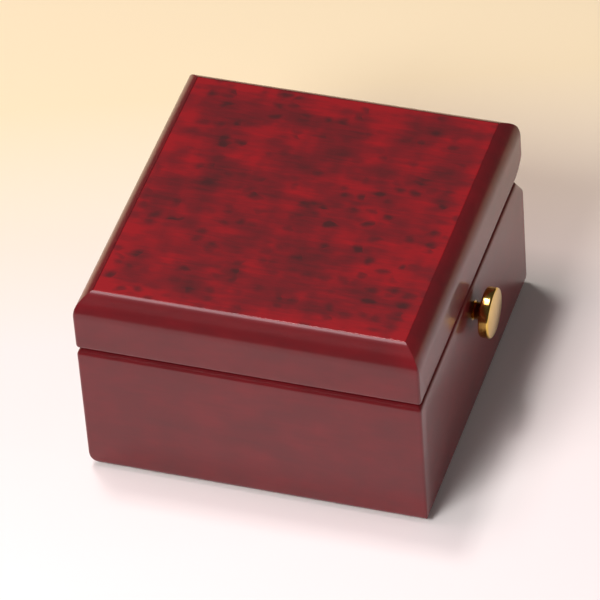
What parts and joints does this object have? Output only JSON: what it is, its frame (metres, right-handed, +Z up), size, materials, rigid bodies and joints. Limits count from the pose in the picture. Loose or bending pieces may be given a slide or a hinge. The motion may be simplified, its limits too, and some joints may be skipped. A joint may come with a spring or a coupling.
{
  "type": "cylinder music box",
  "caption": "Small lacquered wooden box with a hinged burl lid, a brass stop knob on its side, a velvet tray and a wind-up cylinder movement under glass.",
  "frame": {"origin": "centre of the face that the closed box rests on (the underside of the felt)", "axes": "+X to the right along the front, +Y from the front to the hinged back, +Z up"},
  "size_m": [0.1085, 0.106, 0.065],
  "materials": {
    "red_lacquered_wood": "high gloss lacquer",
    "red_lacquered_burl": "high gloss lacquer",
    "plain_wood": "matt",
    "felt": "felt",
    "velvet": "velvet",
    "clear_glass": "clear",
    "polished_brass": "polished",
    "movement_brass": "satin",
    "bright_steel": "bright",
    "zinc_casting": "die cast"
  },
  "bodies": {
    "case": {"front_board": "red_lacquered_wood", "back_board": "red_lacquered_wood", "left_board": "red_lacquered_wood", "right_board": "red_lacquered_wood", "bottom_panel": "plain_wood", "base_felt": "felt", "divider": "red_lacquered_wood", "glass_cover": "clear_glass", "glass_ledges": "red_lacquered_wood", "tray_floor_pad": "velvet", "tray_front_lining": "velvet", "tray_back_lining": "velvet", "tray_left_lining": "velvet", "tray_right_lining": "velvet", "hinge_base_leaves": "polished_brass", "hinge_pins": "bright_steel", "hinge_base_screws": "polished_brass", "knob_bush": "polished_brass", "bedplate": "zinc_casting", "movement_screws": "bright_steel", "rear_bearing": "movement_brass", "train_plate": "movement_brass", "arbor_post": "bright_steel", "comb": "bright_steel", "comb_screws": "bright_steel", "governor_bracket": "movement_brass"},
    "lid": {"lid_front_rail": "red_lacquered_wood", "lid_back_rail": "red_lacquered_wood", "lid_left_rail": "red_lacquered_wood", "lid_right_rail": "red_lacquered_wood", "lid_top_panel": "red_lacquered_burl", "lid_pad": "velvet", "hinge_lid_leaves": "polished_brass", "hinge_lid_screws": "polished_brass"},
    "stop_slide": {"stop_knob": "polished_brass", "stop_rod": "bright_steel", "rod_collar": "polished_brass", "stop_arm": "polished_brass"},
    "winder": {"winding_arbor": "bright_steel", "arbor_collar": "bright_steel", "winding_key": "polished_brass"},
    "barrel": {"spring_barrel": "movement_brass", "barrel_cover": "movement_brass", "mainspring": "bright_steel"},
    "cylinder": {"pinned_cylinder": "movement_brass", "cylinder_arbor": "bright_steel", "crown_driven_wheel": "movement_brass", "great_wheel": "movement_brass"},
    "pinion": {"pinion_arbor": "bright_steel", "worm_wheel": "movement_brass"},
    "governor": {"worm": "bright_steel", "fan": "movement_brass"}
  },
  "joints": [
    {"name": "lid_hinge", "type": "hinge", "parent": "case", "child": "lid", "pos_m": [0, 0.0495, 0.0455], "axis": [-1, 0, 0], "range_deg": [0, 95]},
    {"name": "stop_knob_slide", "type": "slide", "parent": "case", "child": "stop_slide", "axis": [1, 0, 0], "range_m": [0, 0.004]},
    {"name": "winding_key_turn", "type": "hinge", "parent": "case", "child": "winder", "pos_m": [0.009, 0.0175, 0.01], "axis": [0, 0, 1], "continuous": true},
    {"name": "cylinder_turn", "type": "hinge", "parent": "case", "child": "cylinder", "pos_m": [0.009, 0, 0.03], "axis": [0, 1, 0], "continuous": true},
    {"name": "barrel_turn", "type": "hinge", "parent": "case", "child": "barrel", "pos_m": [0.009, 0.0175, 0.025], "axis": [0, 0, 1], "continuous": true},
    {"name": "pinion_turn", "type": "hinge", "parent": "case", "child": "pinion", "pos_m": [0.01839, 0, 0.028], "axis": [0, 1, 0], "continuous": true},
    {"name": "governor_turn", "type": "hinge", "parent": "case", "child": "governor", "pos_m": [0.02524, -0.0206, 0.03], "axis": [0, 0, 1], "continuous": true}
  ],
  "couplings": [
    {"joint": "barrel_turn", "follows": "cylinder_turn", "ratio": -0.68421},
    {"joint": "pinion_turn", "follows": "cylinder_turn", "ratio": -3},
    {"joint": "governor_turn", "follows": "cylinder_turn", "ratio": -60}
  ]
}
